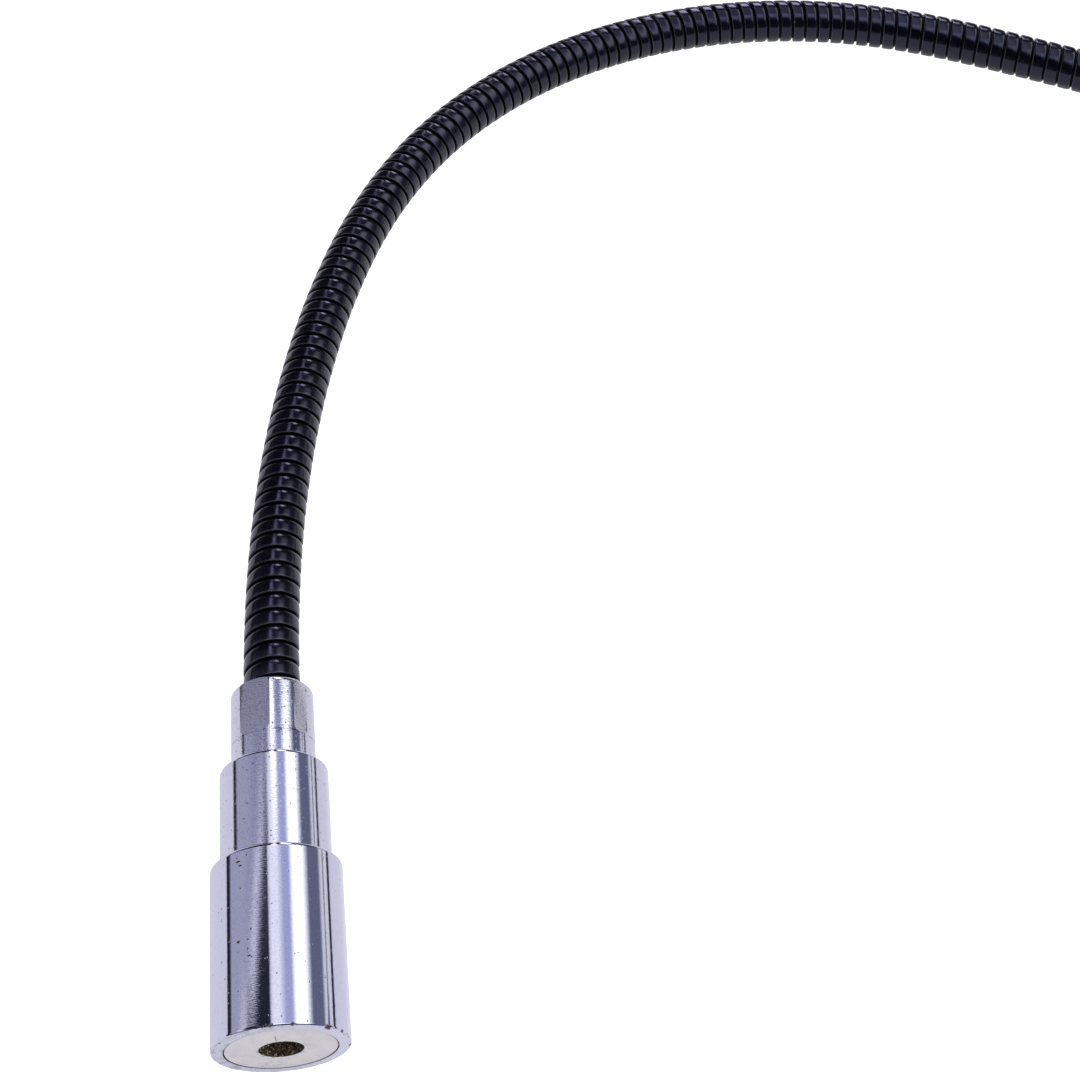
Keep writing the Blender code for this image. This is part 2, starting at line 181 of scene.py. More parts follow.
class NeckLine:
    """The neck's centre line and the turns wound round it, by distance along it."""

    STEP = 0.25 * MM

    def __init__(self):
        count = round(NECK_LENGTH / self.STEP)
        heading = HEAD_HEADING
        place = HEAD_LENGTH * heading_direction(heading)
        turns = 0.0
        rows = []
        for number in range(count + 1):
            distance = number * self.STEP
            rows.append((distance, place.x, place.y, axis_height(distance), heading, turns))
            bend = bend_at(distance + self.STEP / 2)
            turn = math.radians(bend) * self.STEP / MM
            place = place + self.STEP * heading_direction(heading + turn / 2)
            heading += turn
            turns += self.STEP / pitch_at(distance)
        self.rows = np.array(rows)
        # A groove runs half a turn's width from each band's middle.
        at_groove = np.interp(FIRST_GROOVE, self.rows[:, 0], self.rows[:, 5])
        wanted = round(at_groove) + 0.5 + GROOVE_TURN
        self.rows[:, 5] += wanted - at_groove
        self.shift_to_frame()

    def shift_to_frame(self):
        """Lay the line through the frame's joints."""
        pitch = NECK_LENGTH / JOINTS
        first = min(joints.values(), key=lambda joint: int(joint["name"][-2:]))
        here = self.points(np.array([pitch / 2]))[0]
        self.rows[:, 1] += first["pos_m"][0] - here[0]
        self.rows[:, 2] += first["pos_m"][1] - here[1]

    def column(self, distances, number):
        return np.interp(distances, self.rows[:, 0], self.rows[:, number])

    def headings(self, distances):
        return self.column(distances, 4)

    def points(self, distances):
        """Points on the line; it runs straight on past both ends."""
        distances = np.asarray(distances, float)
        over = distances - np.clip(distances, 0, NECK_LENGTH)
        heading = self.headings(distances)
        return np.stack([self.column(distances, 1) + over * np.sin(heading),
                         self.column(distances, 2) + over * np.cos(heading),
                         self.column(distances, 3)], axis=1)

    def turns(self, distances):
        """Turns of the winding up to each distance."""
        distances = np.asarray(distances, float)
        over = distances - np.clip(distances, 0, NECK_LENGTH)
        return self.column(distances, 5) + over / pitch_at(0)

    def distance_of_turns(self, turns):
        inside = np.interp(turns, self.rows[:, 5], self.rows[:, 0])
        last = self.rows[-1, 5]
        over = np.minimum(turns - self.rows[0, 5], 0) + np.maximum(turns - last, 0)
        return inside + over * pitch_at(0)

    def across(self, distances):
        """Unit vectors level across the line and up from it."""
        heading = self.headings(distances)
        zero = np.zeros_like(heading)
        level = np.stack([np.cos(heading), -np.sin(heading), zero], axis=1)
        slope = np.gradient(self.rows[:, 3], self.rows[:, 0])
        rise = np.interp(distances, self.rows[:, 0], slope)
        ahead = np.stack([np.sin(heading), np.cos(heading), rise], axis=1)
        ahead /= np.linalg.norm(ahead, axis=1)[:, None]
        return level, np.cross(level, ahead), ahead


line = NeckLine()
NECK_START = Vector(line.points([0.0])[0])
NECK_END = Vector(line.points([NECK_LENGTH])[0])
END_HEADING = float(line.headings(np.array([NECK_LENGTH]))[0])
FACE = NECK_START - HEAD_LENGTH * heading_direction(HEAD_HEADING)


# ---------------------------------------------------------------- materials

class Nodes:
    """A short way to lay out a node tree."""

    def __init__(self, owner):
        owner.use_nodes = True
        self.owner = owner
        self.tree = owner.node_tree

    @classmethod
    def material(cls, name):
        made = cls(bpy.data.materials.new(name))
        made.shader = made.tree.nodes["Principled BSDF"]
        return made

    def add(self, kind, **settings):
        node = self.tree.nodes.new(kind)
        for key, value in settings.items():
            setattr(node, key, value)
        return node

    def put(self, value, socket):
        """Give a socket a value, or link another node's output to it."""
        if isinstance(value, bpy.types.NodeSocket):
            self.tree.links.new(value, socket)
        elif isinstance(value, tuple) and len(socket.default_value) == 4:
            socket.default_value = (*value, 1)
        else:
            socket.default_value = value

    def set(self, **values):
        for key, value in values.items():
            self.put(value, self.shader.inputs[key.replace("_", " ")])

    def math(self, operation, first, second=0.0):
        node = self.add("ShaderNodeMath", operation=operation)
        self.put(first, node.inputs[0])
        self.put(second, node.inputs[1])
        return node.outputs[0]

    def times(self, first, *others):
        for other in others:
            first = self.math("MULTIPLY", first, other)
        return first

    def length(self, across, down):
        return self.math("SQRT", self.math("ADD", self.times(across, across),
                                           self.times(down, down)))

    def step(self, value, start, end):
        """Eased from 0 at the start to 1 at the end."""
        node = self.add("ShaderNodeMapRange", interpolation_type="SMOOTHSTEP")
        self.put(value, node.inputs["Value"])
        self.put(start, node.inputs["From Min"])
        self.put(end, node.inputs["From Max"])
        return node.outputs["Result"]

    def band(self, value, start, end, soft):
        """1 between the start and the end, with soft sides."""
        return self.times(self.step(value, start - soft, start + soft),
                          self.step(value, end + soft, end - soft))

    def dot(self, vector, axis):
        node = self.add("ShaderNodeVectorMath", operation="DOT_PRODUCT")
        self.put(vector, node.inputs[0])
        node.inputs[1].default_value = tuple(axis)
        return node.outputs["Value"]

    def place(self, space="Object"):
        return self.add("ShaderNodeTexCoord").outputs[space]

    def stretched(self, vector, scale, shift=(0, 0, 0)):
        node = self.add("ShaderNodeMapping")
        self.put(vector, node.inputs["Vector"])
        node.inputs["Scale"].default_value = scale
        node.inputs["Location"].default_value = shift
        return node.outputs["Vector"]

    def split(self, vector):
        node = self.add("ShaderNodeSeparateXYZ")
        self.put(vector, node.inputs[0])
        return node.outputs

    def noise(self, vector, scale, detail=3.0, roughness=0.5):
        node = self.add("ShaderNodeTexNoise")
        self.put(vector, node.inputs["Vector"])
        node.inputs["Scale"].default_value = scale
        node.inputs["Detail"].default_value = detail
        node.inputs["Roughness"].default_value = roughness
        return node.outputs["Fac"]

    def dots(self, vector, scale, share, size):
        """Small round spots, in a share of the cells of an even scatter."""
        node = self.add("ShaderNodeTexVoronoi")
        self.put(vector, node.inputs["Vector"])
        node.inputs["Scale"].default_value = scale
        chosen = self.step(self.split(node.outputs["Color"])[0], share, share * 0.9)
        return self.times(self.step(node.outputs["Distance"], size, size * 0.5), chosen)

    def spot(self, vector, centre, size):
        """One soft-edged spot of a size along each axis, at a place."""
        scale = tuple(1 / length for length in size)
        shift = tuple(-place / length for place, length in zip(centre, size))
        node = self.add("ShaderNodeVectorMath", operation="LENGTH")
        self.put(self.stretched(vector, scale, shift), node.inputs[0])
        return self.step(node.outputs["Value"], 1.0, 0.6)

    def ramp(self, factor, stops):
        node = self.add("ShaderNodeValToRGB")
        ramp = node.color_ramp
        while len(ramp.elements) < len(stops):
            ramp.elements.new(1.0)
        for element, (position, colour) in zip(ramp.elements, stops):
            element.position = position
            element.color = (*colour, 1)
        self.put(factor, node.inputs["Fac"])
        return node.outputs["Color"]

    def mix(self, factor, low, high, blend="MIX"):
        node = self.add("ShaderNodeMix", data_type="RGBA", blend_type=blend)
        self.put(factor, node.inputs["Factor"])
        # The colour sockets are the third pair of this node's inputs.
        self.put(low, node.inputs[6])
        self.put(high, node.inputs[7])
        return node.outputs[2]

    def spread(self, factor, low, high):
        """A plain number between two others, by the factor."""
        return self.math("ADD", self.times(factor, high - low), low)

    def bump(self, height, distance):
        node = self.add("ShaderNodeBump")
        node.inputs["Distance"].default_value = distance
        self.put(height, node.inputs["Height"])
        self.put(node.outputs["Normal"], self.shader.inputs["Normal"])


CHROME_TINT = (0.60, 0.62, 0.74)
CHROME_WORN = (0.44, 0.45, 0.55)


def chrome_material(name, wear, pitting):
    """Polished chrome: turning marks round it, draw lines along it, pits and specks."""
    made = Nodes.material(name)
    place = made.place()
    lines = made.noise(made.stretched(place, (1, 1, 0.04)), 5200, 3)
    rings = made.noise(made.stretched(place, (0.15, 0.15, 1)), 7000, 3, 0.6)
    cloud = made.noise(place, 260, 4)
    grain = made.noise(place, 6500, 2)
    pits = made.dots(place, 2300, pitting, 0.30)
    wide_pits = made.dots(made.stretched(place, (1, 1, 0.7), (0.02, 0.01, 0.03)), 520,
                          pitting * 0.6, 0.12)
    marks = made.math("MAXIMUM", pits, wide_pits)
    colour = made.mix(made.times(made.step(grain, 0.42, 0.72), wear), CHROME_TINT, CHROME_WORN)
    colour = made.mix(made.times(made.step(lines, 0.55, 0.75), 0.25), colour, CHROME_WORN)
    colour = made.mix(made.times(marks, 0.75), colour, (0.06, 0.05, 0.055))
    rough = made.spread(made.step(cloud, 0.35, 0.7), 0.03, 0.03 + 0.06 * wear)
    rough = made.math("ADD", rough, made.times(made.step(lines, 0.5, 0.8), 0.03))
    made.set(Metallic=1.0, Base_Color=colour, Roughness=made.math("ADD", rough,
                                                                 made.times(marks, 0.4)))
    height = made.math("ADD", made.times(lines, 0.2), made.times(rings, 2.6))
    height = made.math("ADD", height, made.times(grain, wear))
    height = made.math("SUBTRACT", height, made.times(marks, 9.0 * wear))
    glints = made.dots(made.stretched(place, (1, 1, 1), (0.05, 0.03, 0.01)), 2900,
                       pitting * 1.3, 0.28)
    height = made.math("ADD", height, made.times(glints, 5.0 * wear))
    made.bump(height, 0.0000016 + 0.0000050 * max(0.0, wear - 0.55))
    return made


# Chips on the cup: where each is on the head, and its size along each axis, both in
# millimetres.
CUP_CHIPS = (((-4.20, -7.62, 22.1), (0.42, 0.5, 0.16)),
             ((-3.90, -7.78, 21.5), (0.34, 0.5, 0.13)),
             ((-4.25, -7.59, 11.4), (0.30, 0.5, 0.20)),
             ((-2.90, -8.20, 9.3), (0.25, 0.5, 0.14)))


def ferrule_material(name, foot_of_flats):
    """Chrome with sandy flats, darkened along their lower edge, partly by a ragged burr and
    partly as painted shade where the flat meets the round.
    """
    made = chrome_material(name, 0.95, 0.25)
    place = made.place()
    across, down, along = made.split(place)
    radius = made.length(across, down)
    flat = made.step(radius, FERRULE_RADIUS - 0.02 * MM, FERRULE_RADIUS - 0.05 * MM)
    colour = made.shader.inputs["Base Color"].links[0].from_socket
    rough = made.shader.inputs["Roughness"].links[0].from_socket
    sand = made.step(made.noise(place, 3300, 3, 0.7), 0.50, 0.66)
    colour = made.mix(made.times(flat, 0.30), colour, (0.92, 0.93, 0.97))
    colour = made.mix(made.times(flat, sand, 0.4), colour, (0.28, 0.26, 0.32))
    rough = made.math("MAXIMUM", rough, made.times(flat, 0.24))
    # Dark ragged line and blotches round the foot of the flats: partly a burr, partly painted
    # shade where the flat meets the round.
    ragged = made.times(made.step(made.noise(place, 900, 4, 0.7), 0.42, 0.56), 0.8)
    uneven = made.spread(made.noise(place, 260, 2), -0.25 * MM, 0.25 * MM)
    past = made.math("ADD", made.math("SUBTRACT", along, foot_of_flats), uneven)
    edge = made.times(made.band(past, -0.09 * MM, 0.09 * MM, 0.05 * MM), ragged)
    foot_blotch_and_shade = made.times(made.band(past, -0.7 * MM, 0.5 * MM, 0.25 * MM),
                        made.band(across, 1.2 * MM, 2.9 * MM, 0.4 * MM),
                        made.step(made.noise(place, 1500, 4, 0.7), 0.47, 0.60))
    colour = made.mix(made.math("MAXIMUM", edge, made.times(foot_blotch_and_shade, 0.8)), colour,
                      (0.07, 0.065, 0.08))
    made.set(Base_Color=colour, Roughness=rough)
    return made.owner


def cup_material():
    """Chrome, with a worn rim, and the wall round the magnet painted dark brown and dull as
    painted shade in the gap.
    """
    made = chrome_material("cup_finish", 0.55, 0.06)
    place = made.place()
    across, down, along = made.split(place)
    radius = made.length(across, down)
    shader = made.shader
    colour = shader.inputs["Base Color"].links[0].from_socket
    rough = shader.inputs["Roughness"].links[0].from_socket
    edge = made.times(made.step(along, 0.55 * MM, 0.25 * MM),
                      made.step(radius, CUP_RADIUS - 0.55 * MM, CUP_RADIUS - 0.25 * MM))
    chips = made.times(edge, made.step(made.noise(place, 620, 5, 0.7), 0.55, 0.60))
    for centre, size in CUP_CHIPS:
        spot = made.spot(place, Vector(centre) * MM, Vector(size) * MM)
        chips = made.math("MAXIMUM", chips, spot)
    face = made.step(along, 0.12 * MM, 0.02 * MM)
    # The rim face is darker in noisy patches towards -X.
    face_darkening = made.times(face, made.step(made.noise(place, 700, 4, 0.65), 0.42, 0.70),
                      made.step(across, 4 * MM, -3 * MM))
    # The cup's wall round the magnet, seen only in the thin gap, is painted near-black brown
    # and dull: painted shade of the gap.
    gap_wall_shade = made.times(made.step(radius, POCKET_RADIUS + 0.05 * MM, POCKET_RADIUS),
                        made.step(along, 0.02 * MM, 0.12 * MM))
    colour = made.mix(made.times(face_darkening, 0.75), colour, (0.26, 0.25, 0.28))
    colour = made.mix(chips, colour, (0.07, 0.040, 0.035))
    colour = made.mix(gap_wall_shade, colour, (0.045, 0.025, 0.018))
    plain = made.math("MAXIMUM", made.times(chips, 0.8), gap_wall_shade)
    rough = made.math("ADD", rough, made.times(face, 0.15))
    rough = made.math("MAXIMUM", rough, made.times(plain, 0.55))
    made.set(Base_Color=colour, Roughness=rough,
             Metallic=made.math("SUBTRACT", 1.0, made.times(plain, 0.75)))
    return made.owner


def magnet_material():
    """Dull nickel, stained below and scratched above the hole; inside it a rough brown wall,
    darkened as painted shade, with painted golden glints.
    """
    made = Nodes.material("magnet_finish")
    place = made.place()
    across, down, _ = made.split(place)
    radius = made.length(across, down)
    grain = made.noise(place, 5200, 3, 0.6)
    cloud = made.noise(place, 420, 4, 0.6)
    colour = made.mix(made.step(cloud, 0.35, 0.70), (0.90, 0.88, 0.87), (0.82, 0.80, 0.80))
    colour = made.mix(made.times(made.step(grain, 0.52, 0.75), 0.35), colour,
                      (0.33, 0.30, 0.31))
    stain = made.times(made.band(across, -3.2 * MM, -0.4 * MM, 0.9 * MM),
                       made.band(down, 4.4 * MM, 6.2 * MM, 0.7 * MM),
                       made.step(made.noise(place, 900, 4, 0.6), 0.40, 0.65))
    colour = made.mix(made.times(stain, 0.55), colour, (0.36, 0.32, 0.30))
    scratch = made.times(made.band(across, -0.36 * MM, -0.26 * MM, 0.03 * MM),
                         made.band(down, -5.0 * MM, -3.1 * MM, 0.2 * MM))
    colour = made.mix(made.times(scratch, 0.8), colour, (0.10, 0.09, 0.10))
    chip = made.times(made.step(radius, MAGNET_HOLE + 0.50 * MM, MAGNET_HOLE + 0.20 * MM),
                      made.step(made.noise(place, 850, 3, 0.6), 0.55, 0.62))
    colour = made.mix(made.times(chip, 0.7), colour, (0.40, 0.33, 0.27))
    hole = made.step(radius, MAGNET_HOLE + 0.05 * MM, MAGNET_HOLE + 0.01 * MM)
    # The hole's wall: rough brown, darkened almost to black as painted shade of the hole's
    # inside.
    rust = made.noise(place, 1900, 5, 0.75)
    wall = made.mix(made.step(rust, 0.40, 0.60), (0.012, 0.008, 0.004), (0.10, 0.065, 0.025))
    # Golden specks on the hole's wall: painted glints.
    painted_glints = made.step(made.noise(place, 3600, 3, 0.7), 0.56, 0.63)
    wall = made.mix(painted_glints, wall, (0.75, 0.62, 0.38))
    made.set(Base_Color=made.mix(hole, colour, wall),
             Metallic=made.times(made.math("SUBTRACT", 1.0, hole), 0.25),
             Roughness=made.spread(made.math("MAXIMUM", hole, cloud), 0.38, 0.62))
    height = made.math("ADD", made.times(grain, 0.5), made.times(hole, rust, 14.0))
    height = made.math("SUBTRACT", height, made.times(scratch, 6.0))
    made.bump(height, 0.000012)
    return made.owner


def hole_floor_material():
    made = Nodes.material("hole_floor_finish")
    place = made.place()
    rust = made.noise(place, 1700, 5, 0.75)
    colour = made.mix(made.step(rust, 0.35, 0.65), (0.010, 0.007, 0.004), (0.09, 0.055, 0.02))
    made.set(Base_Color=colour, Roughness=0.7, Metallic=0.2)
    made.bump(rust, 0.0002)
    return made.owner


def band_material():
    """Black paint on the wound wire, fine-grained, with bare metal at a few edges and a painted
    highlight along each band's head-side edge.

    The second coordinate is the place across the band, and runs on down its walls.
    """
    made = Nodes.material("band_finish")
    place = made.place("UV")
    _, across, _ = made.split(place)
    grain = made.noise(place, 5200, 3, 0.6)
    cloud = made.noise(place, 330, 4, 0.6)
    specks = made.step(made.noise(place, 3600, 2, 0.5), 0.60, 0.70)
    colour = made.mix(made.step(cloud, 0.35, 0.7), (0.0015, 0.0013, 0.0030),
                      (0.0040, 0.0035, 0.0070))
    colour = made.mix(made.times(specks, 0.5), colour, (0.030, 0.027, 0.045))
    rim = made.band(across, -1.19 * MM, -1.02 * MM, 0.04 * MM)
    # Deep in the grooves the walls' shine is turned off, so they stay black: painted shade.
    wall = made.step(made.math("ABSOLUTE", across), 1.22 * MM, 1.30 * MM)
    # A patchy lighter grey line along each band's head-side edge: painted highlight.
    edge_painted_highlight = made.times(rim, made.step(made.noise(place, 210, 3, 0.6), 0.30, 0.62), 0.35)
    colour = made.mix(edge_painted_highlight, colour, (0.15, 0.14, 0.17))
    bare = made.times(rim, made.step(made.noise(place, 95, 4, 0.7), 0.66, 0.70))
    colour = made.mix(bare, colour, (0.75, 0.70, 0.58))
    made.set(Base_Color=colour, Metallic=made.times(bare, 0.6),
             Specular_IOR_Level=made.spread(wall, 0.5, 0.02),
             Specular_Tint=(0.66, 0.70, 1.0),
             Roughness=made.spread(made.step(cloud, 0.3, 0.7), 0.11, 0.19))
    made.bump(made.math("ADD", grain, made.times(cloud, 1.5)), 0.000007)
    return made.owner


def core_material():
    made = Nodes.material("core_finish")
    grain = made.noise(made.place("UV"), 900, 4, 0.6)
    colour = made.mix(grain, (0.0010, 0.0010, 0.0015), (0.0050, 0.0045, 0.0060))
    made.set(Base_Color=colour, Roughness=made.spread(grain, 0.5, 0.8),
             Specular_IOR_Level=0.15)
    made.bump(grain, 0.00005)
    return made.owner


def rubber_material():
    """Matt moulded rubber, dusty in its grain and shinier where it is handled."""
    made = Nodes.material("rubber_finish")
    place = made.place()
    grain = made.noise(place, 2600, 4, 0.65)
    cloud = made.noise(place, 90, 5, 0.6)
    colour = made.mix(made.step(grain, 0.35, 0.7), (0.014, 0.014, 0.016), (0.030, 0.030, 0.033))
    dust = made.times(made.step(cloud, 0.52, 0.75), made.step(grain, 0.45, 0.65), 0.6)
    colour = made.mix(dust, colour, (0.075, 0.072, 0.07))
    made.set(Base_Color=colour, Roughness=made.spread(made.step(cloud, 0.3, 0.7), 0.46, 0.68))
    made.bump(made.math("ADD", grain, made.times(cloud, 2.0)), 0.00006)
    return made.owner


def shaft_material():
    made = Nodes.material("shaft_finish")
    place = made.place()
    lines = made.noise(made.stretched(place, (1, 1, 0.03)), 2600, 3)
    colour = made.mix(made.step(lines, 0.4, 0.65), (0.36, 0.34, 0.33), (0.24, 0.22, 0.21))
    made.set(Base_Color=colour, Metallic=1.0, Roughness=made.spread(lines, 0.3, 0.5))
    made.bump(lines, 0.00001)
    return made.owner


CUP_FINISH = cup_material()
CHROME = chrome_material("chrome_finish", 0.55, 0.05).owner
SLEEVE_CHROME = chrome_material("sleeve_finish", 0.72, 0.11).owner
HEAD_FERRULE_CHROME = ferrule_material("head_ferrule_finish", HEAD_LENGTH - FLAT_LENGTH)
GRIP_FERRULE_CHROME = ferrule_material("grip_ferrule_finish", -FLAT_LENGTH)
MAGNET_FINISH = magnet_material()
HOLE_FLOOR = hole_floor_material()
BLACK_BAND = band_material()
CORE_BLACK = core_material()
RUBBER = rubber_material()
SHAFT_STEEL = shaft_material()


# ---------------------------------------------------------------- making meshes

def new_object(name, mesh, material):
    made = bpy.data.objects.new(name, mesh)
    bpy.context.scene.collection.objects.link(made)
    if material is not None:
        mesh.materials.append(material)
    return made


def arc(across, along, radius, start, end, steps=6):
    points = []
    for number in range(steps + 1):
        angle = math.radians(start + (end - start) * number / steps)
        points.append((across + radius * math.cos(angle), along + radius * math.sin(angle)))
    return points


def held(outline):
    """The outline with points close to the ends of its long runs, to keep them straight."""
    margin = 0.03 * MM
    points = []
    for here, after in zip(outline, outline[1:] + outline[:1]):
        points.append(here)
        run = math.dist(here, after)
        if run > 10 * margin:
            for share in (margin / run, 1 - margin / run):
                points.append((here[0] + (after[0] - here[0]) * share,
                               here[1] + (after[1] - here[1]) * share))
    return points


def turned(name, outline, segments, material, sharp=30):
    """Spin a closed outline about local Z and close it into one body."""
    mesh = bpy.data.meshes.new(name)
    shape = bmesh.new()
    rings = []
    for across, along in held(outline):
        if across < 1e-7:
            rings.append([shape.verts.new((0, 0, along))])
            continue
        ring = []
        for number in range(segments):
            angle = 2 * math.pi * number / segments
            ring.append(shape.verts.new((across * math.cos(angle),
                                         across * math.sin(angle), along)))
        rings.append(ring)
    for upper, lower in zip(rings, rings[1:] + rings[:1]):
        join_rings(shape, upper, lower)
    bmesh.ops.recalc_face_normals(shape, faces=shape.faces)
    shape.to_mesh(mesh)
    shape.free()
    smooth(mesh, sharp)
    return new_object(name, mesh, material)


def join_rings(shape, upper, lower):
    """Faces between two rings of points, either of which may be a single point."""
    if len(upper) == 1 and len(lower) == 1:
        return
    count = max(len(upper), len(lower))
    for number in range(count):
        following = (number + 1) % count
        corners = [upper[number % len(upper)], upper[following % len(upper)],
                   lower[following % len(lower)], lower[number % len(lower)]]
        unlike = []
        for corner in corners:
            if corner not in unlike:
                unlike.append(corner)
        shape.faces.new(unlike)


def smooth(mesh, sharp):
    mesh.shade_smooth()
    mesh.set_sharp_from_angle(angle=math.radians(sharp))


def stand(made, point, heading):
    """Lay local Z along the tool's heading; local -Y then points up."""
    made.location = point
    made.rotation_euler = (math.radians(-90), 0, -heading)


def cutter_box(size, centre, turn, corner):
    """A box turned about Z, with its long edges across the cut rounded."""
    mesh = bpy.data.meshes.new("cutter")
    shape = bmesh.new()
    bmesh.ops.create_cube(shape, size=1)
    bmesh.ops.scale(shape, vec=size, verts=shape.verts)
    if corner > 0:
        edges = [edge for edge in shape.edges
                 if abs((edge.verts[0].co - edge.verts[1].co).y) > size[1] / 2]
        bmesh.ops.bevel(shape, geom=edges, offset=corner, segments=8, profile=0.5,
                        affect="EDGES")
    shape.transform(Matrix.Rotation(turn, 4, "Z") @ Matrix.Translation(centre))
    shape.to_mesh(mesh)
    shape.free()
    return new_object("cutter", mesh, None)


def cutter_rod(radius, depth, centre):
    """A round rod along local Y."""
    mesh = bpy.data.meshes.new("cutter")
    shape = bmesh.new()
    bmesh.ops.create_cone(shape, cap_ends=True, segments=64, radius1=radius,
                          radius2=radius, depth=depth)
    shape.transform(Matrix.Translation(centre) @ Matrix.Rotation(math.pi / 2, 4, "X"))
    shape.to_mesh(mesh)
    shape.free()
    return new_object("cutter", mesh, None)


def cut_away(made, cutters, sharp=30):
    """Cut the shapes out of a piece for good, and remove them."""
    for cutter in cutters:
        boolean = made.modifiers.new("Cut", "BOOLEAN")
        boolean.object = cutter
        boolean.solver = "EXACT"
    graph = bpy.context.evaluated_depsgraph_get()
    mesh = bpy.data.meshes.new_from_object(made.evaluated_get(graph))
    made.modifiers.clear()
    made.data = mesh
    for cutter in cutters:
        bpy.data.objects.remove(cutter, do_unlink=True)
    smooth(mesh, sharp)


def belongs(made, body, nodes):
    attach(made, body)
    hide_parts(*nodes)


# ---------------------------------------------------------------- the head

SEGMENTS = 160


def flat_cutters(mouth):
    """What shaves the ferrule's flats, from its mouth at this height on local Z."""
    cutters = []
    for degrees, depth in FLATS:
        surface = FERRULE_RADIUS - depth
        half_width = math.sqrt(FERRULE_RADIUS ** 2 - surface ** 2) + FLAT_MARGIN
        size = Vector((2 * half_width, FLAT_REACH, 2 * FLAT_LENGTH))
        centre = Vector((0, -surface - FLAT_REACH / 2, mouth))
        corner = min(FLAT_CORNER, half_width * FLAT_CORNER_SHARE)
        cutters.append(cutter_box(size, centre, math.radians(degrees), corner))
    return cutters


def ferrule(name, mouth, material):
    """A ferrule whose mouth is at this height on local Z, facing up it."""
    foot = mouth - FERRULE_LENGTH
    outline = [(NECK_BORE, mouth - NECK_BORE_DEPTH), (NECK_BORE, mouth - BORE_EDGE),
               (NECK_BORE + BORE_EDGE, mouth)]
    outline += arc(FERRULE_RADIUS - MOUTH_ROUND, mouth - MOUTH_ROUND, MOUTH_ROUND, 90, 0)
    outline += [(FERRULE_RADIUS, foot), (0, foot), (0, mouth - NECK_BORE_DEPTH)]
    made = turned(name, outline, SEGMENTS, material)
    cut_away(made, flat_cutters(mouth))
    return made


def make_head():
    rim = 0.35 * MM
    cup = arc(CUP_RADIUS - SHOULDER, CUP_END - SHOULDER, SHOULDER, 90, 0)
    cup += arc(CUP_RADIUS - rim, rim, rim, 0, -90)
    cup += [(POCKET_RADIUS, 0), (POCKET_RADIUS, POCKET_DEPTH), (0, POCKET_DEPTH), (0, CUP_END)]
    made = turned("magnet_cup_fine", cup, SEGMENTS, CUP_FINISH)
    stand(made, FACE, HEAD_HEADING)
    belongs(made, "head", ["magnet_cup"])

    edge = 0.06 * MM
    set_back = 0.05 * MM
    magnet = [(MAGNET_RADIUS, MAGNET_DEPTH)]
    magnet += arc(MAGNET_RADIUS - edge, set_back + edge, edge, 0, -90, 3)
    magnet += arc(MAGNET_HOLE + edge, set_back + edge, edge, -90, -180, 3)
    magnet += [(MAGNET_HOLE, MAGNET_DEPTH)]
    made = turned("ring_magnet_fine", magnet, SEGMENTS, MAGNET_FINISH)
    stand(made, FACE, HEAD_HEADING)
    belongs(made, "head", ["ring_magnet"])

    plug = [(POCKET_RADIUS, POCKET_DEPTH), (POCKET_RADIUS, MAGNET_DEPTH), (0, MAGNET_DEPTH),
            (0, POCKET_DEPTH)]
    made = turned("pole_disc_fine", plug, 48, HOLE_FLOOR)
    stand(made, FACE, HEAD_HEADING)
    belongs(made, "head", ["pole_disc"])

    sleeve = arc(SLEEVE_RADIUS - SHOULDER, SLEEVE_END - SHOULDER, SHOULDER, 90, 0)
    sleeve += [(SLEEVE_RADIUS, CUP_END), (0, CUP_END), (0, SLEEVE_END)]
    made = turned("head_sleeve_fine", sleeve, SEGMENTS, SLEEVE_CHROME)
    stand(made, FACE, HEAD_HEADING)
    belongs(made, "head", ["head_sleeve"])

    made = ferrule("head_ferrule_fine", HEAD_LENGTH, HEAD_FERRULE_CHROME)
    stand(made, FACE, HEAD_HEADING)
    belongs(made, "head", ["head_ferrule"])


# ---------------------------------------------------------------- the neck


def band_section():
    """The band's outline, as (place across it from -1 to 1, distance from the axis).

    The side towards the head is nearly square. The other side rounds over.
    """
    outline = [(-1, NECK_RADIUS - BAND_THICKNESS), (-1, NECK_RADIUS - 0.16 * MM),
               (-0.97, NECK_RADIUS - 0.06 * MM), (-0.90, NECK_RADIUS - 0.01 * MM)]
    for place in (-0.75, -0.5, -0.25, 0.0, 0.2, 0.35):
        outline.append((place, NECK_RADIUS - CROWN * max(0.0, place) ** 2))
    for angle in (20, 35, 50, 65, 80, 90):
        turn = math.radians(angle)
        outline.append((0.35 + 0.65 * math.sin(turn), NECK_RADIUS - CROWN * 0.35 ** 2
                        - FAR_ROUND * (1 - math.cos(turn))))
    outline.append((1, NECK_RADIUS - BAND_THICKNESS))
    return outline


def tube_faces(rows, count):
    """Quads over a grid of rows of points, closed round each row, with two caps."""
    faces = []
    for row in range(rows - 1):
        for index in range(count):
            after = (index + 1) % count
            faces.append((row * count + index, row * count + after,
                          (row + 1) * count + after, (row + 1) * count + index))
    faces.append(tuple(range(count))[::-1])
    faces.append(tuple((rows - 1) * count + index for index in range(count)))
    return faces


def mapped_mesh(name, points, coordinates, material):
    """A closed tube through a grid of points, with each point's place on its surface."""
    rows, count, _ = points.shape
    mesh = bpy.data.meshes.new(name)
    mesh.from_pydata(points.reshape(-1, 3).tolist(), [], tube_faces(rows, count))
    layer = mesh.uv_layers.new(name="surface")
    corners = np.zeros(len(mesh.loops), dtype=np.int32)
    mesh.loops.foreach_get("vertex_index", corners)
    layer.data.foreach_set("uv", coordinates.reshape(-1, 2)[corners].ravel())
    smooth(mesh, 50)
    return new_object(name, mesh, material)


